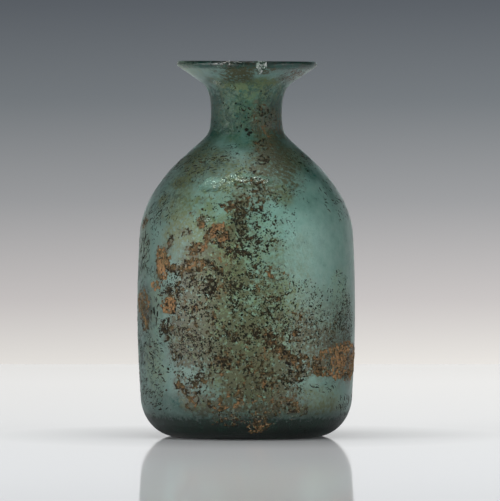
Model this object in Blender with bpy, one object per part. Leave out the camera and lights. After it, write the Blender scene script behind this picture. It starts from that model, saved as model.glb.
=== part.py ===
"""A free-blown glass apothecary bottle, ancient and long buried.

It is one piece of glass: a cylindrical body with a rounded heel, a full rounded shoulder, a short
narrow neck and a wide conical rim with a fire-rounded lip. It is hollow, open at the mouth and
empty, and a flake has broken from its lip. Metres, +Z up. The origin is the middle of the
underside, level with the flat ring that the bottle stands on. The flaked side of the lip is at -Y.
"""

import math

import bmesh
import bpy
import numpy as np
from mathutils import Matrix, Vector

MM = 0.001

# Heights of the sections of the outer profile, stacked from the standing surface up
HEEL_HEIGHT = 13.4 * MM
WALL_HEIGHT = 50.0 * MM
SHOULDER_HEIGHT = 32.0 * MM
NECK_ROOT_HEIGHT = 8.3 * MM
NECK_HEIGHT = 9.4 * MM
FLARE_HEIGHT = 6.9 * MM

# Outer radii where those sections meet
FOOT_RADIUS = 22.5 * MM
HEEL_RADIUS = 33.9 * MM
SHOULDER_RADIUS = 34.2 * MM
NECK_ROOT_RADIUS = 13.6 * MM
NECK_RADIUS = 11.4 * MM
FLARE_ROOT_RADIUS = 14.4 * MM
RIM_RADIUS = 22.45 * MM

# The flat ring underneath, the hollow inside it, and the slight swell of the side wall
FOOT_RING_WIDTH = 4.0 * MM
KICK_DEPTH = 1.2 * MM
WALL_SWELL = 0.75 * MM

# How steeply the shoulder runs into the neck, and how full each curve is: the length of each
# end's handle as a share of the height of the section that it shapes
SHOULDER_PITCH = math.radians(45)
SHOULDER_FULLNESS = (0.52, 0.26)
NECK_ROOT_FULLNESS = (0.25, 0.65)
NECK_FULLNESS = (0.65, 0.15)

# Thickness of the glass, blown thinner from the base up and thick again in the rounded lip
BASE_THICKNESS = 3.5 * MM
WALL_THICKNESS = 1.8 * MM
NECK_THICKNESS = 1.6 * MM
LIP_THICKNESS = 2.0 * MM

# Unevenness of hand work: the rim sits a little to one side and is lower at that side
RIM_LEAN = 0.25 * MM
RIM_DROP = 0.3 * MM

# The flake lost from the lip: its bearing from -Y towards +X, how steeply its scar climbs the lip,
# and the size of the egg-shaped piece that broke away there
FLAKE_BEARING = math.radians(13)
FLAKE_PITCH = math.radians(45)
FLAKE_WIDTH = 4.2 * MM
FLAKE_LENGTH = 10.0 * MM
FLAKE_DEPTH = 1.7 * MM

# Faceting: sides round the axis, fine points on each section's curve, and rows kept from them
SIDES = 72
CURVE_POINTS = 49
SECTIONS = ("kick", "foot", "heel", "wall", "shoulder", "neck_root", "neck", "flare")
OUTER_ROWS = dict(zip(SECTIONS, (3, 1, 6, 4, 9, 4, 5, 2)))
INNER_ROWS = dict(zip(SECTIONS, (2, 1, 5, 2, 7, 3, 4, 1)))
LIP_ROWS = 6
MERGE_DISTANCE = 0.001 * MM

HEIGHT = HEEL_HEIGHT + WALL_HEIGHT + SHOULDER_HEIGHT + NECK_ROOT_HEIGHT + NECK_HEIGHT + FLARE_HEIGHT
SHOULDER_TOP = HEEL_HEIGHT + WALL_HEIGHT + SHOULDER_HEIGHT


def clear_scene():
    for found in list(bpy.data.objects):
        bpy.data.objects.remove(found, do_unlink=True)


def linear(channel):
    """One sRGB channel, 0 to 1, as the linear value that a shader takes."""
    return channel / 12.92 if channel <= 0.04045 else ((channel + 0.055) / 1.055) ** 2.4


def glass_material():
    """Blue-green soda-lime glass, dulled by burial."""
    material = bpy.data.materials.new("weathered_blue_green_glass")
    material.use_nodes = True
    shader = material.node_tree.nodes["Principled BSDF"]
    colour = [linear(int(pair, 16) / 255) for pair in ("68", "82", "76")]
    shader.inputs["Base Color"].default_value = (*colour, 1)
    shader.inputs["Roughness"].default_value = 0.25
    shader.inputs["Metallic"].default_value = 0
    shader.inputs["Transmission Weight"].default_value = 0.6
    material.diffuse_color = (*colour, 1)
    return material


def bezier(start, start_handle, end_handle, end):
    """Points on a cubic curve between two ends, with each end's handle given as a vector from it."""
    t = np.linspace(0, 1, CURVE_POINTS)[:, None]
    near, far = start + start_handle, end + end_handle
    return (1 - t) ** 3 * start + 3 * (1 - t) ** 2 * t * near + 3 * (1 - t) * t**2 * far + t**3 * end


def flare_and_lip():
    """(centre of the round lip, pitch of the flare, where the flare's underside touches the lip)."""
    lip_radius = LIP_THICKNESS / 2
    centre = np.array([RIM_RADIUS - lip_radius, HEIGHT - lip_radius])
    reach = centre - np.array([FLARE_ROOT_RADIUS, HEIGHT - FLARE_HEIGHT])
    pitch = math.atan2(reach[1], reach[0]) - math.asin(lip_radius / np.hypot(*reach))
    return centre, pitch, centre + lip_radius * np.array([math.sin(pitch), -math.cos(pitch)])


def outer_sections():
    """The outer profile as (radius, height) curves, one for each section, from the axis outwards."""
    t = np.linspace(0, 1, CURVE_POINTS)
    ring_inside = FOOT_RADIUS - FOOT_RING_WIDTH
    kick = np.column_stack([t * ring_inside, KICK_DEPTH * (1 + np.cos(math.pi * t)) / 2])
    foot = np.column_stack([ring_inside + t * FOOT_RING_WIDTH, np.zeros_like(t)])
    quarter = t * math.pi / 2
    heel = np.column_stack(
        [
            FOOT_RADIUS + (HEEL_RADIUS - FOOT_RADIUS) * np.sin(quarter),
            HEEL_HEIGHT * (1 - np.cos(quarter)),
        ]
    )
    swell = HEEL_RADIUS + (SHOULDER_RADIUS - HEEL_RADIUS) * t + WALL_SWELL * np.sin(math.pi * t)
    wall = np.column_stack([swell, HEEL_HEIGHT + WALL_HEIGHT * t])

    wall_end = (wall[-1] - wall[-2]) / np.linalg.norm(wall[-1] - wall[-2])
    into_neck = np.array([-math.cos(SHOULDER_PITCH), math.sin(SHOULDER_PITCH)])
    neck_root_start = np.array([NECK_ROOT_RADIUS, SHOULDER_TOP])
    shoulder = bezier(
        wall[-1],
        wall_end * SHOULDER_FULLNESS[0] * SHOULDER_HEIGHT,
        -into_neck * SHOULDER_FULLNESS[1] * SHOULDER_HEIGHT,
        neck_root_start,
    )
    upright = np.array([0, 1])
    waist = np.array([NECK_RADIUS, SHOULDER_TOP + NECK_ROOT_HEIGHT])
    neck_root = bezier(
        neck_root_start,
        into_neck * NECK_ROOT_FULLNESS[0] * NECK_ROOT_HEIGHT,
        -upright * NECK_ROOT_FULLNESS[1] * NECK_ROOT_HEIGHT,
        waist,
    )
    pitch, touch = flare_and_lip()[1:]
    out_of_neck = np.array([math.cos(pitch), math.sin(pitch)])
    flare_start = np.array([FLARE_ROOT_RADIUS, HEIGHT - FLARE_HEIGHT])
    neck = bezier(
        waist,
        upright * NECK_FULLNESS[0] * NECK_HEIGHT,
        -out_of_neck * NECK_FULLNESS[1] * NECK_HEIGHT,
        flare_start,
    )
    flare = flare_start + t[:, None] * (touch - flare_start)
    return {
        "kick": kick,
        "foot": foot,
        "heel": heel,
        "wall": wall,
        "shoulder": shoulder,
        "neck_root": neck_root,
        "neck": neck,
        "flare": flare,
    }


def inner_sections(outer):
    """The inner profile: the outer one moved into the glass by the thickness it has there."""
    ends = {
        "kick": (BASE_THICKNESS, BASE_THICKNESS),
        "foot": (BASE_THICKNESS, BASE_THICKNESS),
        "heel": (BASE_THICKNESS, WALL_THICKNESS),
        "wall": (WALL_THICKNESS, WALL_THICKNESS),
        "shoulder": (WALL_THICKNESS, WALL_THICKNESS),
        "neck_root": (WALL_THICKNESS, NECK_THICKNESS),
        "neck": (NECK_THICKNESS, NECK_THICKNESS),
        "flare": (NECK_THICKNESS, LIP_THICKNESS),
    }
    inner = {}
    for name, curve in outer.items():
        along = np.gradient(curve, axis=0)
        along /= np.linalg.norm(along, axis=1)[:, None]
        inward = np.column_stack([-along[:, 1], along[:, 0]])
        inner[name] = curve + inward * np.linspace(*ends[name], CURVE_POINTS)[:, None]
    inner["kick"][0] = 0, KICK_DEPTH + BASE_THICKNESS
    return inner


def kept_rows(sections, rows):
    """The last points of each section, evenly picked, so that sections share their ends once."""
    picked = []
    for name, curve in sections.items():
        index = np.linspace(0, CURVE_POINTS - 1, rows[name] + 1).round().astype(int)
        picked.append(curve[index[1:]])
    return np.vstack(picked)


def lip_arc():
    """The half circle of the lip, from the flare's underside over the top to its inner face."""
    centre, pitch, _ = flare_and_lip()
    angle = pitch - math.pi / 2 + math.pi * np.arange(1, LIP_ROWS) / LIP_ROWS
    return centre + LIP_THICKNESS / 2 * np.column_stack([np.cos(angle), np.sin(angle)])


def bottle_profile():
    """The whole section of the glass, from the axis underneath to the axis on the floor inside."""
    outer = outer_sections()
    inner = inner_sections(outer)
    return np.vstack(
        [
            outer["kick"][:1],
            kept_rows(outer, OUTER_ROWS),
            lip_arc(),
            kept_rows(inner, INNER_ROWS)[::-1],
            inner["kick"][:1],
        ]
    )


def set_by_hand(point):
    """Moves a point as the hand-worked neck and rim sit: a little aside, and lower at that side."""
    rise = min(max((point.z - SHOULDER_TOP) / (HEIGHT - SHOULDER_TOP), 0), 1)
    drop = RIM_DROP / 2 * point.x / RIM_RADIUS
    return point + Vector((RIM_LEAN, 0, -drop)) * rise**2


def mesh_from(shape, name):
    """The finished mesh of a bmesh, with the unevenness of hand work in it."""
    for corner in shape.verts:
        corner.co = set_by_hand(corner.co)
    bmesh.ops.recalc_face_normals(shape, faces=shape.faces)
    mesh = bpy.data.meshes.new(name)
    shape.to_mesh(mesh)
    shape.free()
    return mesh


def turned_mesh(name, profile):
    """A closed mesh made by spinning a profile, whose ends are on the axis, once round it."""
    shape = bmesh.new()
    points = [shape.verts.new((radius, 0, height)) for radius, height in profile]
    edges = [shape.edges.new(pair) for pair in zip(points[:-1], points[1:])]
    bmesh.ops.spin(
        shape,
        geom=points + edges,
        cent=(0, 0, 0),
        axis=(0, 0, 1),
        angle=2 * math.pi,
        steps=SIDES,
        use_merge=True,
    )
    bmesh.ops.remove_doubles(shape, verts=shape.verts, dist=MERGE_DISTANCE)
    return mesh_from(shape, name)


def add_object(name, mesh):
    made = bpy.data.objects.new(name, mesh)
    bpy.context.scene.collection.objects.link(made)
    return made


def flake_cutter():
    """An egg-shaped cutter centred on the round of the lip, as deep as the scar that it leaves."""
    lip = flare_and_lip()[0]
    shape = bmesh.new()
    bmesh.ops.create_icosphere(shape, subdivisions=2, radius=1)
    size = Matrix.Diagonal((FLAKE_LENGTH / 2, FLAKE_WIDTH / 2, FLAKE_DEPTH, 1))
    climb = Matrix.Rotation(-FLAKE_PITCH, 4, "Y")
    outside = LIP_THICKNESS / 2 * Vector((math.sin(FLAKE_PITCH), 0, -math.cos(FLAKE_PITCH)))
    place = Matrix.Translation(Vector((lip[0], 0, lip[1])) + outside)
    bearing = Matrix.Rotation(FLAKE_BEARING - math.pi / 2, 4, "Z")
    bmesh.ops.transform(shape, matrix=bearing @ place @ climb @ size, verts=shape.verts)
    cutter = add_object("flake_cutter", mesh_from(shape, "flake_cutter"))
    cutter.hide_render = True
    cutter.display_type = "WIRE"
    return cutter


def build_bottle():
    bottle = add_object("bottle", turned_mesh("bottle", bottle_profile()))
    bottle.data.materials.append(glass_material())
    bottle.data.shade_smooth()
    flake = bottle.modifiers.new("lost_flake", "BOOLEAN")
    flake.operation = "DIFFERENCE"
    flake.solver = "EXACT"
    flake.object = flake_cutter()
    return bottle


clear_scene()
build_bottle()
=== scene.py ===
"""The looks of a long-buried, free-blown glass bottle: frosted blue-green glass, crust, pits and stains.

Metres, +Z up, in the frame of the CAD model. Places on the bottle are given as a bearing, in degrees
from -Y (the side that the camera sees) towards +X, and a height in millimetres.
"""

import itertools
import math

import bpy
import numpy as np
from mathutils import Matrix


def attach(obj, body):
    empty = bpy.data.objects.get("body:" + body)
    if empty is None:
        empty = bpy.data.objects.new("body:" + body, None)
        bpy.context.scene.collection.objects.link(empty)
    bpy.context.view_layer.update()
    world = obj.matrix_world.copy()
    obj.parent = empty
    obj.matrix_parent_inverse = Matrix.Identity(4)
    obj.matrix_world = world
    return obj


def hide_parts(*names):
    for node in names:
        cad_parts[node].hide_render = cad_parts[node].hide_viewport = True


MM = 0.001
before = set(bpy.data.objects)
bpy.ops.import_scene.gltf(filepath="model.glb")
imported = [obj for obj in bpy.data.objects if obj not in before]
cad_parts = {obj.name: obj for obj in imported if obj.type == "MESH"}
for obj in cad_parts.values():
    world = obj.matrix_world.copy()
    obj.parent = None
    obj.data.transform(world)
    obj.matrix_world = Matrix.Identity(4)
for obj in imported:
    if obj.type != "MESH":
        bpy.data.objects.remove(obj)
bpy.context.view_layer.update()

# The blown form, in millimetres: heights of the sections of the profile, stacked from the ground up
HEEL_HEIGHT = 13.4
WALL_HEIGHT = 50.0
SHOULDER_HEIGHT = 32.0
NECK_ROOT_HEIGHT = 8.3
NECK_HEIGHT = 9.4
FLARE_HEIGHT = 6.9
SHOULDER_TOP = HEEL_HEIGHT + WALL_HEIGHT + SHOULDER_HEIGHT
HEIGHT = SHOULDER_TOP + NECK_ROOT_HEIGHT + NECK_HEIGHT + FLARE_HEIGHT

# Outer radii where those sections meet
FOOT_RADIUS = 22.5
HEEL_RADIUS = 33.9
SHOULDER_RADIUS = 34.2
NECK_ROOT_RADIUS = 13.6
NECK_RADIUS = 11.4
FLARE_ROOT_RADIUS = 14.4
RIM_RADIUS = 22.45

FOOT_RING_WIDTH = 4.0
KICK_DEPTH = 1.2
WALL_SWELL = 0.75
SHOULDER_PITCH = math.radians(45)
BASE_THICKNESS = 3.5
WALL_THICKNESS = 1.8
NECK_THICKNESS = 1.6
LIP_THICKNESS = 2.0
RIM_LEAN = 0.25
RIM_DROP = 0.3

# The flake lost from the lip
FLAKE_BEARING = 13.0
FLAKE_PITCH = math.radians(45)
FLAKE_WIDTH = 4.2
FLAKE_LENGTH = 10.0
FLAKE_DEPTH = 1.7
# Where it was struck, from the flake's middle
FLAKE_BLOW = (2.6, 0.3, 0)

# The waves of the hand-blown surface, and where painted shade darkens the skin towards the thick base
SWELL_HEIGHT = 0.16
RIPPLE_HEIGHT = 0.035
BASE_SHADE_TOP = 11.5
BASE_SHADE_FADE = 10.0

# Depth inside the crust at which it is at its thickest, and that of places with none near
FULL_CRUST = 1.4
NO_CRUST = -9.0

# Pits tried per square millimetre at density 1, of which noise keeps about half, and the half-size
# of a pit over its size in the tables
TRIES = 5
PIT_SCALE = 0.47

# The camera stands far off and low, as a product photograph of small glass is taken: metres, but the
# sensor is in millimetres
CAMERA_DISTANCE = 2.4
CAMERA_HEIGHT = 0.115
VIEW_WIDTH = 0.160
AIM = (0.0012, 0.0, 0.0594)
SENSOR = 36.0
LAMP_AIM = (0.0, 0.0, 0.05)
FLOOR_WIDTH = 1.2

# Facets of the glass: columns round it, closer on the front, and rows along its profile
FRONT_COLUMNS = 170
BACK_COLUMNS = 105
ROW_STEP = 0.64
INNER_ROW_STEP = 2.0
CURVE_POINTS = 200
CRUST_STEP = 0.25

# Crust: bearing, height, half-width, half-height, tilt, how solid it lies, how bright its rust is
CRUST = (
    # Diagonal band below the shoulder, crumbs above it, and the trail up to the neck
    (-16, 65.3, 3.8, 2.7, 32, 0.75, 0.8), (-27, 61, 3.6, 1.7, 20, 0.6, 0.7),
    (-27, 60.4, 3.1, 1.5, 10, 0.7, 0.75), (-35, 65.9, 2, 0.9, 10, 0.6, 0.5),
    (-25, 69.1, 1.4, 2, -15, 0.6, 0.55), (-44, 63, 1.1, 1.9, -15, 0.5, 0.4),
    (-4, 71.4, 2.6, 4.4, -10, 0.4, 0.4), (-10, 74.1, 1.9, 1.4, 0, 0.6, 0.5),
    (-31, 72, 0.9, 0.8, 0, 0.5, 0.6), (18, 68.8, 1.6, 0.9, 0, 0.3, 0.2),
    (15, 61.8, 1.3, 1.7, 20, 0.35, 0.35), (7, 81.3, 2.6, 1.5, 0, 0.45, 0.35),
    (8, 85.4, 1.5, 1.6, 40, 0.45, 0.35), (15, 88.6, 1.3, 2.2, -30, 0.45, 0.3),
    (36, 102.9, 3.4, 2, -10, 0.35, 0.2), (26, 100, 2.6, 5, 0, 0.32, 0.6), (20, 93, 2.6, 3, 0, 0.34, 0.6),
    # Left of the wall
    (-50, 55.6, 3.2, 4.5, 12, 0.85, 0.85), (-28, 55.3, 4.2, 2.2, 0, 0.8, 0.75),
    (-39, 53.8, 3.4, 1.3, -10, 0.55, 0.45), (-32, 50.1, 2.6, 2.9, 0, 0.45, 0.4),
    (-20, 48.9, 2, 2.1, 0, 0.4, 0.15), (-44, 46.9, 4.1, 1.3, 10, 0.5, 0.3),
    (-45, 42.2, 2.9, 2.4, 0, 0.95, 1), (-56, 48.8, 2.1, 1.2, 0, 0.6, 0.8),
    (-75, 68.5, 2.3, 1.8, 0, 0.6, 0.4), (-72, 42.5, 4.9, 4.1, 0, 0.6, 0.6), (-68, 36.7, 2.5, 2, 0, 0.5, 0.4),
    (-47, 34.9, 2.2, 2.9, -10, 0.5, 0.2), (-40, 28.5, 2.7, 3.5, -25, 0.35, 0.25),
    (-24, 28.5, 3.8, 3.5, 0, 0.2, 0.3), (-24, 35.5, 2.6, 2.3, 0, 0.25, 0.45),
    (-8, 38.7, 1.5, 1.2, 0, 0.35, 0.5), (2, 36.1, 4.7, 2.6, 0, 0.2, 0.15),
    (12, 32.6, 2.4, 1.7, 0, 0.35, 0.1),
    # Low on the front
    (-35, 17.5, 3.7, 2.6, -30, 0.55, 0.5), (-30, 12.5, 1.9, 3.2, -20, 0.55, 0.5),
    (-24, 18.9, 3.5, 2, 20, 0.5, 0.4), (-16, 11.7, 2.5, 2.5, 0, 0.6, 0.6),
    (-12, 6.4, 3.9, 1.8, 8, 0.45, 0.5), (0, 21, 6.4, 5.5, 0, 0.4, 0.5), (5, 22.7, 3.5, 1.5, -20, 0.6, 0.6),
    (10, 19.2, 3.5, 2.3, 20, 0.5, 0.55), (-2, 16.3, 2.9, 2.3, 0, 0.45, 0.45),
    (7, 5, 3.3, 3.3, 0, 0.55, 0.55), (10, 8.8, 3.5, 1.6, 0, 0.5, 0.6), (18, 11.7, 2.6, 1.1, 0, 0.5, 0.5),
    (27, 9.9, 3.9, 1.5, -15, 0.4, 0.35), (27, 21, 4, 2.2, 10, 0.6, 0.3), (23, 24.3, 1.5, 1, 0, 0.6, 0.1),
    (18, 27.7, 2.4, 1.9, 0, 0.6, 0.55), (14, 24, 5, 4, 0, 0.36, 0.7), (-12, 27, 4, 5, 0, 0.36, 0.7),
    (-3, 31, 5, 4, 0, 0.32, 0.6), (20, 14, 6, 3, 0, 0.36, 0.7), (-18, 42, 5, 8, 0, 0.3, 0.6),
    (-10, 52, 5, 5, 0, 0.3, 0.5), (8, 39, 5, 5, 0, 0.3, 0.5), (-34, 40, 5, 6, 0, 0.32, 0.6),
    (2, 78, 5, 5, 0, 0.3, 0.5), (-14, 60, 5, 5, 0, 0.33, 0.9), (12, 50, 6, 5, 0, 0.31, 0.8),
    (-30, 46, 5, 5, 0, 0.34, 0.9), (5, 30, 6, 5, 0, 0.37, 0.9), (25, 36, 6, 4, 0, 0.32, 0.8),
    (-6, 14, 7, 3, 0, 0.37, 0.9),
    # Band round the right
    (39, 23.6, 9, 2.4, -12, 0.66, 0.7), (63, 23.9, 10.9, 4.9, -8, 0.68, 0.95),
    (67, 27.4, 9, 2.9, 0, 0.6, 0.95), (52, 27, 5, 1.5, -5, 0.5, 0.85),
    # The sides that the camera doesn't see
    (98, 25, 9, 4, 6, 0.7, 0.6), (118, 28.5, 7, 2.6, 12, 0.5, 0.5), (131, 33.5, 4.5, 3, 35, 0.42, 0.45),
    (149, 58, 3.4, 4.6, -20, 0.45, 0.5), (156, 50, 4.2, 2.6, 25, 0.4, 0.5), (165, 43.5, 2, 1.6, 0, 0.4, 0.4),
    (112, 67, 2.6, 4.2, -15, 0.4, 0.4), (120, 60, 1.8, 2.2, 0, 0.35, 0.4),
    (136, 12.5, 5.5, 2.2, 12, 0.55, 0.6), (151, 10.5, 3, 1.5, -10, 0.45, 0.5),
    (-162, 20, 5.5, 2.4, 14, 0.55, 0.6), (-148, 24.5, 5, 3, -8, 0.5, 0.55),
    (-137, 18, 2.2, 1.8, 0, 0.4, 0.5), (-121, 52, 3, 5, 10, 0.45, 0.5), (-115, 43, 3.6, 2.8, -20, 0.4, 0.5),
    (-142, 71, 3.6, 2.2, 25, 0.4, 0.4), (-132, 67, 2, 1.6, 0, 0.35, 0.4),
    (-106, 20.5, 5, 2.6, -15, 0.45, 0.5), (-97, 15, 2.4, 2, 0, 0.4, 0.5), (-160, 84, 2.4, 3.4, 0, 0.4, 0.35),
)

# Stains in the glass's skin: bearing, height, half-width, half-height, strength
OLIVE = (
    (-51, 81.6, 4.8, 3.5, 0.8), (-40, 85.1, 3.2, 1.6, 0.55), (-30, 75.8, 2, 1.9, 0.6),
    (-59, 75.2, 3.4, 3.1, 0.5), (-42, 76.4, 4.7, 3.8, 0.3), (-23, 72.3, 2.5, 1.9, 0.2),
    (22, 77.6, 3.8, 4.2, 0.5), (-12, 112.5, 3.7, 2.1, 0.9), (-36, 38.4, 4.3, 1.2, 0.4),
    (-26, 41.9, 1.9, 2.6, 0.6), (-21, 35.5, 1.9, 2.6, 0.5), (-31, 29.7, 6.8, 5.2, 0.3),
    (51, 9.6, 10.3, 2.8, 0.4), (30, 9.3, 4, 2.4, 0.5), (-130, 30, 9, 6, 0.5), (150, 76, 7, 5, 0.5),
    (120, 12, 8, 4, 0.5),
    # Broad veils
    (-38, 76, 15, 12, 0.22), (-26, 38, 13, 16, 0.58), (8, 84, 15, 9, 0.35), (8, 64, 9, 12, 0.25),
    (28, 13, 20, 7, 0.4), (0, 24, 16, 14, 0.45), (0, 111, 12, 4, 0.3), (-15, 52, 12, 10, 0.4),
    (16, 42, 10, 9, 0.3), (150, 30, 20, 18, 0.3), (-140, 60, 18, 18, 0.3), (30, 44, 16, 9, 0.2),
    (-18, 60, 13, 14, 0.45), (-48, 90, 12, 8, 0.35), (40, 90, 12, 8, 0.3), (-12, 77, 10, 7, 0.3),
    (45, 28, 14, 9, 0.3), (0, 104, 14, 12, 0.2), (-30, 86, 20, 9, 0.3), (-49, 81.5, 3.5, 2.5, 0.5),
    (20, 56, 14, 12, 0.2), (-20, 66, 14, 9, 0.3), (0, 30, 22, 20, 0.3), (-40, 66, 9, 10, 0.5),
    (-26, 56, 8, 6, 0.45), (-27, 11, 6, 4, 0.6), (25, 113.5, 8, 3, 0.6), (-36, 113.5, 5, 3, 0.4),
)
RUST = (
    (51, 99.1, 8.3, 6.6, 0.55), (30, 90.9, 7.4, 8.8, 0.65), (30, 83.4, 6.7, 6.2, 0.5),
    (23, 77, 4.4, 3.3, 0.3), (-11, 115, 5, 4.5, 0.9), (58, 115.4, 7.8, 4.7, 0.5), (18, 104.9, 2.4, 3.5, 0.3),
    (-4, 71.2, 3.8, 5.7, 0.4), (-8, 64.8, 5.3, 3.5, 0.35), (-31, 50.6, 8.9, 7, 0.4),
    (-8, 50.1, 5.3, 3.5, 0.35), (1, 35.5, 7.6, 4.7, 0.4), (48, 33.2, 13.8, 3.5, 0.3),
    (67, 37.8, 8.9, 9.9, 0.3), (-35, 28.5, 7.8, 7, 0.3), (0, 21, 8.7, 7.6, 0.65), (24, 21, 5.7, 3.5, 0.45),
    (18, 28, 3.1, 2.3, 0.3), (-16, 8.8, 13.3, 3.6, 0.35), (140, 40, 14, 12, 0.4), (-150, 25, 14, 9, 0.45),
    (-125, 60, 9, 10, 0.35),
    # Broad veils
    (-6, 46, 12, 15, 0.28), (2, 26, 17, 12, 0.5), (-26, 33, 11, 13, 0.5), (-2, 66, 8, 11, 0.25),
    (24, 88, 9, 9, 0.4), (42, 37, 13, 9, 0.2), (-28, 56, 9, 8, 0.35), (14, 14, 14, 6, 0.4),
    (0, 117, 14, 3, 0.5), (-9, 44, 9, 8, 0.3), (-24, 57, 8, 6, 0.45), (36, 28, 14, 5, 0.4),
    (28, 42, 14, 9, 0.1), (38, 33, 14, 6, 0.2), (4, 24, 12, 11, 0.5), (12, 56, 10, 9, 0.15),
    (10, 12, 12, 4, 0.4), (26, 101, 4, 8, 0.5), (-49, 81.5, 3.5, 2.5, 0.25), (-27, 75.8, 1.6, 1.5, 0.4),
    (13, 85, 5, 3.5, 0.6), (12, 79, 5, 4, 0.4), (-26, 12, 5, 4, 0.4),
)
HAZE = (
    (-2, 77.8, 3.8, 2.4, 0.5), (-15, 81.6, 3.6, 2.1, 0.3), (-60, 26.2, 6.9, 11.6, 0.3),
    (-76, 117.1, 13.6, 3.9, 0.5), (-31, 33.2, 8.9, 5.2, 0.35), (49, 13.4, 9.8, 3.5, 0.3),
    (-30, 104.3, 2.7, 5.3, 0.12), (175, 50, 12, 16, 0.4), (-110, 80, 9, 7, 0.4), (-26, 40, 13, 13, 0.2),
    (-14, 62, 12, 12, 0.4), (30, 36, 16, 9, 0.45), (8, 48, 12, 9, 0.35), (-43, 75, 6, 6, 0.6),
    (-57, 42, 5, 10, 0.45), (-60, 22, 8, 9, 0.4), (52, 11, 10, 3, 0.4), (-41, 78, 3, 2.5, 0.5),
    (-74, 62, 8, 12, 0.35), (60, 46, 7, 9, 0.4),
)

# Painted shade where the neck, lip, shoulders, edges and foot look dark; scaly and dented skin; and where
# the skin has chipped away and glints
PAINTED_SHADE = (
    (0, 103, 60, 13, 0.65), (-62, 104, 6, 12, 0.5), (52, 104, 7, 12, 0.4), (-44, 88, 20, 8, 0.25),
    (44, 91, 14, 8, 0.6), (-70, 79, 6, 10, 0.2), (0, 118.5, 90, 1.6, 0.9), (-20, 112, 7, 4, 0.35),
    (20, 112, 10, 4, 0.3), (-56, 91, 9, 6, 0.5), (20, 93, 10, 8, 0.4), (64, 82, 3.5, 9, 0.5),
    (72, 91, 4, 5, 0.6), (78, 74, 2.5, 9, 0.5), (-84, 84, 4, 12, 0.5), (-48, 12, 10, 4, 0.45),
    (48, 8, 12, 3, 0.1), (-40, 67, 8, 9, 0.2), (-24, 103, 5, 8, 0.3), (34, 76, 8, 6, 0.3),
    (-10, 104, 60, 6, 0.5), (-84, 60, 5, 16, 0.15), (54, 85, 3.5, 5, 0.6), (-31, 12, 9, 4, 0.6),
)
SCALY = (
    (-72, 32, 15, 30, 1), (-60, 78, 14, 12, 0.8), (-35, 88, 12, 9, 0.8), (0, 106, 30, 12, 0.9),
    (-110, 40, 20, 30, 0.8), (140, 60, 20, 25, 0.5),
)
GLOSS = (
    (-3, 82.2, 9, 2.6, 1), (-20, 70, 2, 1, 0.8), (-38, 113, 3, 1.5, 0.8), (-16, 118.5, 5, 1.2, 0.9),
    (12, 82, 3, 1.6, 0.9), (0, 30, 1.5, 1.5, 0.7), (-22, 80.5, 5, 2.2, 0.8),
)

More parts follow.
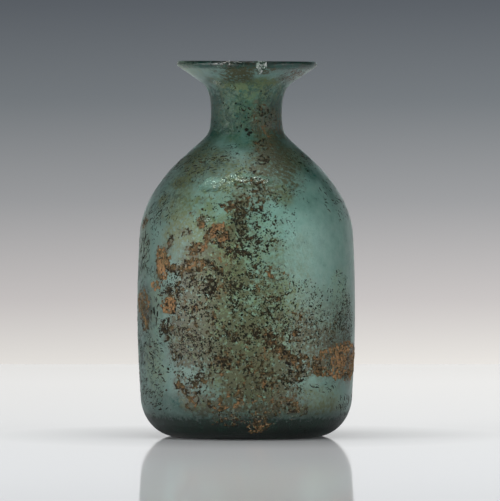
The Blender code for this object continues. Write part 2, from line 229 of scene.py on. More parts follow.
# Small pits: bearing, height, half-width, half-height, density, size of one
PITS = (
    # Neck, shoulder and the cluster below it
    (2, 90.9, 6.4, 7.9, 0.12, 0.45), (0, 101.4, 3.5, 5.3, 0.08, 0.5), (30, 108.7, 2.8, 2.7, 0.25, 0.45),
    (25, 101.4, 3.9, 3.5, 0.3, 0.42), (17, 93.8, 2.1, 2.9, 0.5, 0.45), (-8, 88, 7, 5, 0.1, 0.4),
    (-4, 71.2, 3.5, 5.7, 0.9, 0.5), (11, 77, 6.5, 4, 0.5, 0.38), (23, 78.1, 4.4, 3.1, 0.4, 0.38),
    (6, 68.2, 6.4, 5.3, 0.8, 0.48), (-5, 63, 6.4, 3.5, 1.2, 0.5), (10, 61.8, 5.3, 2.6, 0.8, 0.45),
    (22, 71.2, 3.8, 10.1, 0.25, 0.32), (-20, 73.8, 3.7, 1.4, 0.5, 0.42), (-25, 69.4, 2.7, 2.5, 0.6, 0.42),
    (-17, 64.8, 4.9, 2.9, 0.6, 0.4), (-42, 64.8, 7, 3.5, 0.08, 0.35), (41, 86.3, 6.1, 6.2, 0.2, 0.28),
    (35, 78.1, 3.5, 4.2, 0.2, 0.28), (67, 115.4, 8.8, 4.2, 0.3, 0.3), (12, 71.2, 15.5, 11.3, 0.06, 0.28),
    # Middle of the wall
    (-2, 59.7, 4.9, 2.3, 1.7, 0.52), (1, 54.7, 5.2, 3.5, 0.8, 0.45), (-20, 56.2, 2.5, 1.3, 1.5, 0.45),
    (-15, 54.1, 2.4, 1.5, 1.5, 0.45), (-8, 50.1, 3.5, 2.9, 1.4, 0.5), (-2, 47.7, 4.1, 2.9, 0.9, 0.45),
    (-32, 51.8, 7.5, 5.2, 0.6, 0.4), (-44, 48.9, 4.8, 7, 0.9, 0.4), (-21, 48.3, 3.7, 3.5, 0.9, 0.5),
    (-35, 41.9, 6.4, 4.1, 0.7, 0.42), (-22, 41.9, 5, 3.5, 0.5, 0.4), (-5, 43.1, 3.5, 3.5, 0.9, 0.45),
    (12, 46.6, 5.3, 7, 0.6, 0.32), (21, 50.6, 3.7, 3.5, 0.4, 0.32), (19, 41.9, 3.7, 3.5, 0.6, 0.36),
    (33, 47.2, 4.1, 4.1, 0.4, 0.32), (37, 40.8, 4.4, 3.5, 0.4, 0.32), (21, 34.9, 6.2, 4.1, 0.8, 0.36),
    (36, 34.4, 6.5, 3.5, 0.5, 0.36), (48, 36.1, 6.9, 4.7, 0.5, 0.3), (59, 43.7, 6.8, 9.3, 0.9, 0.28),
    (67, 36.7, 6, 7, 1.3, 0.28), (0, 34.4, 7, 3.5, 1, 0.5), (12, 32, 1.8, 2.9, 1.6, 0.5),
    (-14, 32, 3.6, 5.8, 0.8, 0.42), (-48, 34.9, 2.6, 3.5, 1.2, 0.45), (6, 26.2, 28.1, 32.6, 0.04, 0.3),
    # Low on the wall
    (-35, 30.9, 6.4, 4.7, 1.3, 0.38), (-24, 28.5, 5.1, 5.2, 1, 0.38), (-14, 24.5, 3.6, 2.9, 1.4, 0.45),
    (-41, 25, 2.6, 3.5, 0.7, 0.42), (-30, 21.6, 5.3, 3.5, 0.6, 0.4), (1, 25, 7, 3.5, 0.6, 0.42),
    (26, 26.2, 3.9, 2.3, 0.8, 0.5), (24, 19.2, 5.1, 2.9, 0.8, 0.42), (30, 15.7, 5.4, 2.3, 0.3, 0.36),
    (10, 18.1, 4.7, 4.7, 0.4, 0.4), (0, 14.6, 4.7, 2.3, 0.5, 0.4), (-26, 14.6, 3.9, 2.3, 0.3, 0.4),
    (-33, 16.9, 4.2, 2.9, 0.5, 0.4), (-12, 7, 4.8, 2.4, 0.5, 0.4), (8, 8.8, 3.5, 2.1, 0.5, 0.4),
    (51, 25, 11.2, 2.3, 0.5, 0.32), (70, 20.4, 6.7, 2, 0.8, 0.3), (59, 30.9, 9.1, 2.3, 0.6, 0.3),
    # On the crust
    (-50, 55.6, 3.2, 4.5, 0.7, 0.34), (-30, 55, 3.4, 2.1, 0.7, 0.34), (-16, 65.3, 3.8, 2.7, 0.7, 0.34),
    (-27, 61, 3.6, 1.7, 0.7, 0.34), (-45, 42.2, 2.9, 2.4, 0.5, 0.34), (-16, 11.7, 2.5, 2.5, 0.5, 0.34),
    (63, 24, 10, 4.9, 0.7, 0.32), (40, 23.6, 8, 2.4, 0.7, 0.34), (-72, 42.5, 4.9, 4.1, 0.4, 0.34),
    (4, 6, 5, 3, 0.5, 0.34),
    # The sides that the camera doesn't see
    (125, 35, 20, 12, 0.2, 0.4), (155, 60, 12, 16, 0.15, 0.4), (180, 90, 10, 10, 0.1, 0.4),
    (-150, 28, 18, 12, 0.2, 0.42), (-125, 55, 12, 14, 0.15, 0.4),
)

# Loose pits strewn between those clusters
LOOSE_PITS = (
    (30, 42, 9, 8, 0.3, 0.36), (46, 40, 8, 7, 0.3, 0.34), (14, 38, 7, 8, 0.45, 0.38),
    (26, 31, 9, 4, 0.4, 0.38), (2, 50, 8, 10, 0.2, 0.38), (8, 22, 16, 10, 0.2, 0.36),
    (-20, 40, 10, 12, 0.3, 0.38), (10, 70, 8, 9, 0.12, 0.36),
)

# Dashes: the same, and the way in which they lie, in degrees from level
DASHES = (
    (-73, 57.6, 6.6, 4.1, 0.3, 0.34, 70), (-72, 51.2, 6.5, 3.5, 0.2, 0.34, 80),
    (-74, 28.5, 5, 5.2, 0.22, 0.32, 75), (-75, 16.9, 4.7, 5.2, 0.22, 0.3, 70),
    (-56, 28.5, 6.2, 3.5, 0.15, 0.34, -15), (-57, 20.4, 6.3, 4.1, 0.18, 0.32, 10),
    (-61, 13.4, 6, 3.5, 0.22, 0.3, 20), (-55, 9.3, 5.1, 2.2, 0.2, 0.3, 35),
    (-57, 41.3, 3.2, 3.5, 0.15, 0.5, 85), (-71, 62.4, 4.5, 2.9, 0.4, 0.42, 80),
    (-60, 71.2, 7.1, 5, 0.16, 0.34, 60), (-72, 86.3, 13.1, 4.7, 0.25, 0.3, 35),
    (-35, 87.4, 7.1, 5, 0.14, 0.34, 15), (60, 88.6, 6.9, 5, 0.3, 0.28, -45),
    (68, 75.8, 9.2, 7.6, 0.1, 0.3, -60), (72, 10.5, 7.6, 3.5, 0.3, 0.3, -60),
    (46, 16.9, 6.7, 1.7, 0.3, 0.32, -20), (-110, 30, 16, 20, 0.15, 0.42, 30),
    (110, 60, 14, 20, 0.12, 0.28, -40),
)

# Single larger pits: bearing, height, half-length, half-width, lie
MARKS = (
    (-6, 104.3, 1.1, 0.5, -30), (1, 98.2, 1, 0.8, 0), (4, 96.6, 0.5, 0.8, 20), (-40, 106.6, 0.4, 0.5, 0),
    (-17, 106.5, 0.5, 0.4, 0), (4, 105, 0.5, 0.4, 0), (-2, 102, 0.3, 0.4, 0), (-4, 100.6, 0.3, 0.3, 0),
    (22, 105.5, 0.6, 0.4, 0), (16, 94.1, 0.5, 0.6, 0), (-16, 88.6, 0.4, 0.4, 0), (-25, 88.3, 0.4, 0.4, 0),
    (-39, 81.9, 0.4, 0.4, 0), (25, 78.8, 0.5, 0.3, 0), (-18, 70.5, 0.6, 0.4, 20), (7, 67.7, 0.9, 0.5, -30),
    (11, 66.8, 0.5, 0.5, 0), (-9, 63.3, 0.8, 0.5, 20), (1, 61.6, 0.9, 0.5, 0), (11, 61.6, 0.8, 0.6, 0),
    (15, 63, 0.6, 0.3, 40), (-46, 22.4, 0.8, 0.6, 0), (18, 22.4, 0.6, 0.5, 0), (0, 33.7, 0.9, 0.5, 10),
    (-48, 15.6, 0.8, 0.5, 0), (-54, 39.6, 0.6, 1.2, 0), (-60, 40.6, 0.6, 0.5, 0), (12, 33.1, 1, 0.7, 0),
    (15, 30.7, 1.1, 0.4, -10), (23, 24.5, 1, 0.6, 0), (-24, 51.5, 0.4, 0.8, 0), (-17, 47.6, 0.9, 0.6, -20),
    (-14, 46.7, 0.6, 0.5, 0), (1, 58.9, 0.9, 0.6, 0), (5, 59.4, 0.5, 0.4, 0), (-6, 49.2, 0.8, 0.6, -30),
    (-35, 32.7, 0.9, 0.5, 0), (-22, 31.2, 0.6, 0.5, 0), (-10, 33.8, 0.5, 0.5, 0), (-3, 34.2, 0.5, 0.5, 0),
    (-12, 23.9, 1, 0.6, -20), (-15, 24.6, 0.5, 0.4, 0), (-20, 23.3, 0.6, 0.4, 0), (43, 37.6, 0.8, 0.4, 0),
    (37, 39.9, 0.9, 0.3, 0), (36, 42.5, 1, 0.4, -10), (5, 46, 0.5, 0.3, 0), (21, 37.8, 0.5, 0.3, 30),
)

# Broken rings: bearing, height, half-width, half-height
RINGS = (
    (-19, 92.1, 1.2, 1.6), (3, 88, 1.4, 1.5), (1, 85.4, 1.3, 1.2), (-35, 88.3, 1.2, 1.1),
    (-16, 82.1, 1.1, 1.1), (-11, 79.2, 1.1, 1), (-21, 77.1, 1, 0.9), (-30, 75.8, 2, 1.7),
    (-7, 82.5, 1.5, 0.9), (19, 54.4, 1.4, 1.2), (-43, 70.9, 0.9, 1.6),
)

# Fields of such rings: bearing, height, half-width, half-height, density, half-width of one
RING_FIELDS = (
    (-38, 88, 14, 8, 0.02, 1.3), (0, 89, 14, 6, 0.015, 1.2), (-20, 80, 18, 6, 0.012, 1.1),
    (0, 103, 12, 9, 0.01, 1), (-68, 28, 10, 20, 0.02, 1.2), (-60, 66, 9, 14, 0.015, 1.1),
    (10, 66, 12, 9, 0.01, 0.9), (12, 40, 14, 12, 0.01, 0.9), (-110, 60, 14, 26, 0.01, 1.2),
)

# Scratches: width, then the bearing and height of each point of the line
SCRATCHES = (
    (0.32, (10, 43.5), (16, 45.4), (23, 46.7)),
    (0.4, (7, 39.5), (13, 41.5), (19, 43.7)),
    (0.4, (11, 42.2), (14, 38.4), (17, 34.8)),
    (0.28, (10, 42.4), (16, 41.8)),
    (0.3, (-9, 44.8), (-4, 42.4), (5, 39)),
    (0.6, (-23, 57.3), (-16, 54.7), (-11, 51.8), (-4, 48)),
    (0.5, (-51, 46.5), (-43, 47.2), (-38, 45.9)),
    (0.4, (8, 36.7), (11, 34), (12, 31)),
)

# Pale grains caught in the crust, laid out as the pits are
FLECKS = (
    (-12, 7, 3.6, 1.8, 0.6, 0.34), (-10, 18.2, 0.4, 0.3, 3, 0.5), (7, 5, 2.9, 2.9, 0.7, 0.34),
    (63, 23.9, 9, 3.5, 0.45, 0.28), (40, 23.9, 5.3, 1.7, 0.3, 0.28), (-31, 32.6, 8.2, 5.2, 0.35, 0.3),
    (-50, 55.6, 2.7, 4.1, 0.4, 0.3), (-30, 55, 2.7, 1.7, 0.4, 0.3), (0, 21, 6.4, 5.2, 0.15, 0.3),
    (-16, 65.3, 3.6, 2.4, 0.35, 0.28), (7, 81.6, 3.5, 1.4, 0.5, 0.3), (-150, 25, 10, 5, 0.2, 0.35),
    (130, 30, 10, 5, 0.2, 0.35), (2, 24, 14, 12, 0.16, 0.34), (-28, 38, 10, 12, 0.12, 0.3),
    (12, 9, 12, 4, 0.3, 0.34),
)


def colour(text):
    """A linear colour with alpha 1, from an sRGB hex value."""
    channels = [int(text[i : i + 2], 16) / 255 for i in (1, 3, 5)]
    return (*[c / 12.92 if c <= 0.04045 else ((c + 0.055) / 1.055) ** 2.4 for c in channels], 1)


def connect(tree, node, **links):
    """Links sockets, or nodes' first outputs, to a node's inputs: Base_Color by name, _0 by number."""
    for name, source in links.items():
        key = int(name[1:]) if name[0] == "_" else name.replace("_", " ")
        tree.links.new(getattr(source, "outputs", [source])[0], node.inputs[key])


def add(tree, kind, settings=None, **links):
    """Adds a node, sets its properties, unlinked inputs or colour stops, and links its other inputs."""
    node = tree.nodes.new("ShaderNode" + kind)
    for name, value in (settings or {}).items():
        if name == "stops":
            elements = node.color_ramp.elements
            while len(elements) < len(value):
                elements.new(1)
            for element, (position, shade) in zip(elements, value):
                element.position = position
                element.color = colour(shade)
        elif isinstance(name, str) and hasattr(node, name):
            setattr(node, name, value)
        else:
            node.inputs[name].default_value = value
    connect(tree, node, **links)
    return node


def maths(tree, operation, *values, clamp=False):
    """A maths node of numbers, sockets and nodes."""
    numbers = {index: value for index, value in enumerate(values) if isinstance(value, (int, float))}
    links = {f"_{index}": value for index, value in enumerate(values) if index not in numbers}
    return add(tree, "Math", {"operation": operation, "use_clamp": clamp, **numbers}, **links)


def ranged(tree, value, start, end, low=0, high=1):
    """A value moved from the range start to end into the range low to high."""
    limits = {"From Min": start, "From Max": end, "To Min": low, "To Max": high}
    return add(tree, "MapRange", limits, Value=value)


def noise(tree, place, scale, **settings):
    """A noise texture whose features are about 1 / scale metres wide."""
    return add(tree, "TexNoise", {"Scale": scale, **settings}, Vector=place)


def ramp(tree, value, stops):
    """A colour for each value, from (value, sRGB hex) stops."""
    return add(tree, "ValToRGB", {"stops": stops}, _0=value)


def relief(tree, height, strength, distance):
    """A bumped normal, from a height times a distance in metres."""
    return add(tree, "Bump", {"Strength": strength, "Distance": distance}, Height=height)


def own_space(tree):
    """Places in the object's own frame, in metres."""
    return add(tree, "TexCoord").outputs["Object"]


def new_material(name, **values):
    """(material, its node tree, its shader), with the shader's plain values set."""
    material = bpy.data.materials.new(name)
    material.use_nodes = True
    shader = material.node_tree.nodes["Principled BSDF"]
    for socket, value in values.items():
        shader.inputs[socket.replace("_", " ")].default_value = value
    return material, material.node_tree, shader


def show(name, data):
    """A new object in the scene."""
    thing = bpy.data.objects.new(name, data)
    bpy.context.scene.collection.objects.link(thing)
    return thing


def new_object(name, points, faces, material):
    """A mesh in the scene, from points in metres."""
    mesh = bpy.data.meshes.new(name)
    mesh.from_pydata(points, [], faces)
    mesh.materials.append(material)
    return show(name, mesh)


# Camera, backdrop, floor and light


def make_camera():
    camera = show("camera", bpy.data.cameras.new("camera"))
    camera.data.sensor_fit = "HORIZONTAL"
    camera.data.sensor_width = SENSOR
    camera.data.lens = SENSOR * CAMERA_DISTANCE / VIEW_WIDTH
    camera.data.clip_start = 0.1
    camera.data.clip_end = 20
    camera.location = (AIM[0], -CAMERA_DISTANCE, CAMERA_HEIGHT)
    fall = math.atan2(CAMERA_HEIGHT - AIM[2], CAMERA_DISTANCE)
    camera.rotation_euler = (math.pi / 2 - fall, 0, 0)
    bpy.context.scene.camera = camera


def make_backdrop():
    """A studio sweep: near white at the level of the floor, shading to slate grey above it."""
    world = bpy.data.worlds.new("studio_sweep")
    bpy.context.scene.world = world
    world.use_nodes = True
    tree = world.node_tree
    tree.nodes.clear()
    way = add(tree, "SeparateXYZ", Vector=add(tree, "TexCoord").outputs["Generated"])
    low, high = -0.06, 0.24
    rise = ranged(tree, way.outputs["Z"], low, high)
    # (sine of the elevation, colour): the sweep as seen, then the white cloth above it that the
    # floor mirrors, then its dim top
    sweep = (
        (-0.0478, "#e2e2e2"), (-0.0398, "#e6e3de"), (-0.0298, "#c3bfbe"), (-0.0164, "#98999b"),
        (-0.0031, "#72777b"), (0.0102, "#585d63"), (0.02, "#585d63"), (0.03, "#c8c4be"),
        (0.0375, "#ebe8e3"), (0.0405, "#fffcf6"), (0.045, "#f4f4f3"), (0.05, "#dcdfe2"),
        (0.1, "#e6e9ec"), (0.2, "#70757a"),
    )
    room = ((-0.0478, "#909090"), (0, "#303234"), (0.06, "#303234"))
    swept, dim = (
        ramp(tree, rise, [((z - low) / (high - low), shade) for z, shade in strip])
        for strip in (sweep, room)
    )
    ahead = ranged(tree, way.outputs["Y"], 0.75, 0.96)
    ahead.interpolation_type = "SMOOTHSTEP"
    mixed = add(tree, "Mix", {"data_type": "RGBA"}, _0=ahead, _6=dim, _7=swept).outputs[2]
    # A little brighter to the right
    strength = ranged(tree, way.outputs["X"], -0.035, 0.035, 1, 1.09)
    add(tree, "OutputWorld", Surface=add(tree, "Background", Color=mixed, Strength=strength))


def make_floor():
    """White acrylic that glows a little, a painted light standing for light from below: it half mirrors the
    bottle at the camera's low angle.

    The painted glow is stronger towards the backdrop, so that the two run into each other, and
    weaker near the bottle, which paints a shadow round its foot.
    """
    white, tree, shader = new_material(
        "satin_white_acrylic",
        Base_Color=colour("#e6e8ea"),
        Roughness=0.06,
        IOR=1.06,
        Emission_Color=colour("#ffffff"),
    )
    place = own_space(tree)
    away = add(tree, "VectorMath", {"operation": "LENGTH"}, _0=place).outputs["Value"]
    # Painted shadow: the glow fades out near the bottle's foot; painted light: it grows towards the backdrop
    near = ranged(tree, away, 0.035, 0.085, 0, 0.13)
    far = ranged(tree, add(tree, "SeparateXYZ", Vector=place).outputs["Y"], 0.05, 0.42, 0, 0.085)
    connect(tree, shader, Emission_Strength=maths(tree, "ADD", near, far))
    half = FLOOR_WIDTH / 2
    corners = [(-half, -half, 0), (half, -half, 0), (half, half, 0), (-half, half, 0)]
    floor = new_object("acrylic_sheet", corners, [(0, 1, 2, 3)], white)


def make_lamps():
    """Two overhead strips, a glow low behind that only shines through the bottle, and a card each side."""
    for name, place, size, power, unseen in (
        ("strip_softbox", (-0.03, -0.13, 0.95), (1.1, 0.15), 0.9, ()),
        ("bright_tube", (-0.03, -0.12, 0.9), (0.7, 0.05), 2.2, ()),
        ("sweep_glow", (0, 0.4, 0.05), (1.2, 0.12), 1.5, ("camera", "glossy", "diffuse")),
        ("left_card", (-0.5, -0.25, 0.08), (0.3, 0.3), 2.4, ("camera",)),
        ("right_card", (0.5, -0.25, 0.08), (0.3, 0.3), 1.5, ("camera",)),
    ):
        lamp = show(name, bpy.data.lights.new(name, "AREA"))
        lamp.data.shape = "RECTANGLE"
        lamp.data.size, lamp.data.size_y = size
        lamp.data.energy = power
        lamp.location = place
        way = np.array(LAMP_AIM) - np.array(place)
        across = math.hypot(way[0], way[1])
        lamp.rotation_euler = (math.atan2(across, -way[2]), 0, math.atan2(way[1], way[0]) - math.pi / 2)
        for ray in unseen:
            setattr(lamp, "visible_" + ray, False)


# Noise


def lattice_noise(points, seed):
    """Gradient noise, about -1 to 1: the slopes of the eight nearest lattice corners, eased together."""
    chance = np.random.default_rng(seed)
    slopes = chance.normal(size=(256, 3))
    slopes /= np.linalg.norm(slopes, axis=1)[:, None]
    order = chance.permutation(256)
    cell = np.floor(points).astype(int)
    inside = points - cell
    ease = inside**3 * (inside * (inside * 6 - 15) + 10)
    total = np.zeros(len(points))
    for corner in itertools.product((0, 1), repeat=3):
        x, y, z = ((cell + corner) & 255).T
        slope = slopes[order[(order[(order[x] + y) & 255] + z) & 255]]
        weight = np.where(corner, ease, 1 - ease).prod(axis=1)
        total += weight * (slope * (inside - corner)).sum(axis=1)
    return total * 1.6


def clouds(points, size, octaves, seed):
    """Noise with features of the given size in mm, and finer layers each half as large and strong."""
    total = np.zeros(len(points))
    for layer in range(octaves):
        total += lattice_noise(points / (size / 2**layer), seed + layer) / 2**layer
    return total / (2 - 2 ** (1 - octaves))


def smooth(value):
    """An S-shaped step from 0 to 1."""
    value = np.clip(value, 0, 1)
    return value * value * (3 - 2 * value)


# The blown form


def bezier(start, start_handle, end_handle, end):
    """Points on a cubic curve between two ends, with each end's handle given as a vector from it."""
    t = np.linspace(0, 1, CURVE_POINTS)[:, None]
    near, far = start + start_handle, end + end_handle
    return (1 - t) ** 3 * start + 3 * (1 - t) ** 2 * t * near + 3 * (1 - t) * t**2 * far + t**3 * end


def flare_and_lip():
    """(centre of the round lip, pitch of the flare, where the flare's underside touches the lip)."""
    lip_radius = LIP_THICKNESS / 2
    centre = np.array([RIM_RADIUS - lip_radius, HEIGHT - lip_radius])
    reach = centre - np.array([FLARE_ROOT_RADIUS, HEIGHT - FLARE_HEIGHT])
    pitch = math.atan2(reach[1], reach[0]) - math.asin(lip_radius / np.hypot(*reach))
    return centre, pitch, centre + lip_radius * np.array([math.sin(pitch), -math.cos(pitch)])


def outer_profile():
    """(radius, height) along the outside, from the axis underneath to the lip, and the wall's thickness.

    A cosine kick, a flat ring, a quarter ellipse for the heel, a wall swelling as half a sine, and
    then cubic curves for the shoulder, the root of the neck and the neck, and a straight flare.
    """
    t = np.linspace(0, 1, CURVE_POINTS)
    ring_inside = FOOT_RADIUS - FOOT_RING_WIDTH
    kick = np.column_stack([t * ring_inside, KICK_DEPTH * (1 + np.cos(math.pi * t)) / 2])
    foot = np.column_stack([ring_inside + t * FOOT_RING_WIDTH, 0 * t])
    turn = t * math.pi / 2
    heel_radius = FOOT_RADIUS + (HEEL_RADIUS - FOOT_RADIUS) * np.sin(turn)
    heel = np.column_stack([heel_radius, HEEL_HEIGHT * (1 - np.cos(turn))])
    swell = HEEL_RADIUS + (SHOULDER_RADIUS - HEEL_RADIUS) * t + WALL_SWELL * np.sin(math.pi * t)
    wall = np.column_stack([swell, HEEL_HEIGHT + WALL_HEIGHT * t])
    wall_end = (wall[-1] - wall[-2]) / np.linalg.norm(wall[-1] - wall[-2])
    into_neck = np.array([-math.cos(SHOULDER_PITCH), math.sin(SHOULDER_PITCH)])
    root = np.array([NECK_ROOT_RADIUS, SHOULDER_TOP])
    shoulder = bezier(wall[-1], 0.52 * SHOULDER_HEIGHT * wall_end, -0.26 * SHOULDER_HEIGHT * into_neck, root)
    up = np.array([0, 1])
    waist = np.array([NECK_RADIUS, SHOULDER_TOP + NECK_ROOT_HEIGHT])
    neck_root = bezier(root, 0.25 * NECK_ROOT_HEIGHT * into_neck, -0.65 * NECK_ROOT_HEIGHT * up, waist)
    _, pitch, touch = flare_and_lip()
    outwards = np.array([math.cos(pitch), math.sin(pitch)])
    flare_start = np.array([FLARE_ROOT_RADIUS, HEIGHT - FLARE_HEIGHT])
    neck = bezier(waist, 0.65 * NECK_HEIGHT * up, -0.15 * NECK_HEIGHT * outwards, flare_start)
    flare = flare_start + t[:, None] * (touch - flare_start)
    sections = (kick, foot, heel, wall, shoulder, neck_root, neck, flare)
    # The wall's thickness where the sections start and end
    ends = 3 * [BASE_THICKNESS] + 3 * [WALL_THICKNESS] + 2 * [NECK_THICKNESS] + [LIP_THICKNESS]
    curve = np.vstack([section[:-1] for section in sections] + [touch])
    walls = [np.linspace(start, end, CURVE_POINTS)[:-1] for start, end in itertools.pairwise(ends)]
    return curve, np.concatenate([*walls, ends[-1:]])


OUTER, WALL_HERE = outer_profile()
ALONG = np.concatenate([[0], np.cumsum(np.linalg.norm(np.diff(OUTER, axis=0), axis=1))])
SLOPE = np.gradient(OUTER, ALONG, axis=0)
SLOPE /= np.linalg.norm(SLOPE, axis=1)[:, None]
INWARD = np.column_stack([-SLOPE[:, 1], SLOPE[:, 0]])


def along_at(height):
    """Distance along the outer profile, from the axis underneath, to a height on the side."""
    side = ALONG > FOOT_RADIUS
    return np.interp(height, OUTER[side, 1], ALONG[side])


def read_off(along, curve):
    """Columns of a curve that has a row for each point of the profile, at distances along it."""
    return [np.interp(along, ALONG, column) for column in curve.T]


def girth_at(along):
    """Radius of the outside at a distance along the profile."""
    return np.interp(along, ALONG, OUTER[:, 0])


def placed(radius, height, bearing):
    """Points from radius, height and bearing, as the leaning, uneven rim leaves them."""
    x, y = radius * np.sin(bearing), -radius * np.cos(bearing)
    rise = np.clip((height - SHOULDER_TOP) / (HEIGHT - SHOULDER_TOP), 0, 1) ** 2
    drop = RIM_DROP / 2 * x / RIM_RADIUS
    return np.column_stack([x + rise * RIM_LEAN, y, height - rise * drop])


def blown_waves(points):
    """How far the hand-blown surface stands off the true round: long swells and small ripples."""
    settle = np.clip((points[:, 2] - 1) / 12, 0, 1)
    swells = SWELL_HEIGHT * clouds(points * (1, 1, 0.6), 24, 2, 11)
    return settle * (swells + RIPPLE_HEIGHT * clouds(points, 4.5, 2, 17))


def outside(bearing, along, lift=0.0):
    """Points on the glass's outer surface, at a bearing in radians and a distance along the profile."""
    radius, height = read_off(along, OUTER)
    inward, upward = read_off(along, INWARD)
    off = blown_waves(placed(radius, height, bearing)) + lift
    return placed(radius - off * inward, height - off * upward, bearing)


def new_piece(name, points, faces, material):
    """A piece of the bottle from points in mm, smooth shaded, riding on the bottle's body."""
    piece = new_object(name, (points * MM).tolist(), faces, material)
    piece.data.validate()
    piece.data.shade_smooth()
    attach(piece, "root")
    return piece


def closed_faces(count, columns):
    """Faces round rows of points, and from the first and last row to the poles, the last two points."""
    here = np.arange(count - 2).reshape(-1, columns)
    beside = np.roll(here, -1, axis=1)
    faces = np.stack([here[:-1], beside[:-1], beside[1:], here[1:]], axis=-1).reshape(-1, 4).tolist()
    low, high = np.full(columns, count - 2), np.full(columns, count - 1)
    faces += np.column_stack([low, beside[0], here[0]]).tolist()
    return faces + np.column_stack([high, here[-1], beside[-1]]).tolist()


def give_tone(piece, tone):
    """Keeps a number from 0 to 1 at each point of a piece, for its material."""
    piece.data.attributes.new("tone", "FLOAT", "POINT").data.foreach_set("value", tone)


def from_blot(bearing, along, blot):
    """(distance over the blot's half-sizes, its mean half-size) at each place, measured on the glass."""
    middle, height, wide, tall, tilt = blot
    across = ((bearing - math.radians(middle) + math.pi) % (2 * math.pi) - math.pi) * girth_at(along)
    up = along - along_at(height)
    turn = math.radians(tilt)
    u = (across * math.cos(turn) + up * math.sin(turn)) / wide
    v = (up * math.cos(turn) - across * math.sin(turn)) / tall
    return np.hypot(u, v), math.sqrt(wide * tall)


# Glass


def soft_blots(bearing, along, blots, seed):
    """Strength of a stain: each blot fades out over its ragged edge, and where blots meet they build up."""
    ragged = 0.45 * clouds(outside(bearing, along), 5, 3, seed)
    clear = np.ones(len(bearing))
    for middle, height, wide, tall, strength in blots:
        reach, _ = from_blot(bearing, along, (middle, height, wide, tall, 0))
        clear *= 1 - strength * smooth((1.25 - reach + ragged) / 0.9)
    return 1 - clear


def glass_section():
    """Rows of the closed section of the glass: outside, round lip and inside, without the two poles."""
    centre, pitch, _ = flare_and_lip()
    outer_along = np.linspace(0, ALONG[-1], int(ALONG[-1] / ROW_STEP))[1:]
    angle = pitch - math.pi / 2 + np.linspace(0, math.pi, 9)[1:-1]
    lip = centre + LIP_THICKNESS / 2 * np.column_stack([np.cos(angle), np.sin(angle)])
    inner_along = np.linspace(ALONG[-1], 0, int(ALONG[-1] / INNER_ROW_STEP))[:-1]
    inner = np.column_stack(read_off(inner_along, OUTER + INWARD * WALL_HERE[:, None]))
    return outer_along, lip, inner


def glass_vessel(material):
    """The closed glass wall: rows of points round the axis, with a point at each pole.

    The waves of the outside fade out round the lip, and the inside is smooth.
    """
    front = np.linspace(-math.pi / 2, math.pi / 2, FRONT_COLUMNS, endpoint=False)
    back = np.linspace(math.pi / 2, 3 * math.pi / 2, BACK_COLUMNS, endpoint=False)
    bearings = np.concatenate([front, back])
    columns = len(bearings)
    outer_along, lip, inner = glass_section()
    bearing, along = np.tile(bearings, len(outer_along)), np.repeat(outer_along, columns)
    outer = outside(bearing, along)
    rest = np.repeat(np.vstack([lip, inner]), columns, axis=0)
    rest_points = placed(rest[:, 0], rest[:, 1], np.tile(bearings, len(lip) + len(inner)))
    lip_waves = outer[-columns:] - placed(*np.repeat(OUTER[-1:], columns, axis=0).T, bearings)
    fade = np.linspace(1, 0, len(lip) + 2)[1:-1]
    rest_points[: len(lip) * columns] += (fade[:, None, None] * lip_waves).reshape(-1, 3)
    poles = [[0, 0, KICK_DEPTH], [0, 0, KICK_DEPTH + BASE_THICKNESS]]
    points = np.vstack([outer, rest_points, poles])
    faces = closed_faces(len(points), columns)
    piece = new_piece("blown_glass", points, faces, material)
    rust = RUST + tuple((b, h, 1.5 * w, 1.5 * t, 0.2 + 0.4 * solid) for b, h, w, t, _, solid, _ in CRUST)
    # The skin attribute holds painted shade, scaly skin and gloss, and in its alpha painted shade towards
    # the base
    for name, three in (("stain", (OLIVE, rust, HAZE)), ("skin", (PAINTED_SHADE, SCALY, GLOSS))):
        strength = np.zeros((len(points), 4))
        for index, blots in enumerate(three):
            strength[: len(outer), index] = soft_blots(bearing, along, blots, 51 + 2 * index)
        # Painted shade, darker towards the base, where the thick glass looks dark
        strength[: len(outer), 3] = smooth((BASE_SHADE_TOP - outer[:, 2]) / BASE_SHADE_FADE)
        lip_end = len(outer) + len(lip) * columns
        strength[len(outer) : lip_end] = np.tile(strength[len(outer) - columns : len(outer)], (len(lip), 1))
        piece.data.attributes.new(name, "FLOAT_COLOR", "POINT").data.foreach_set("color", strength.ravel())
    return piece


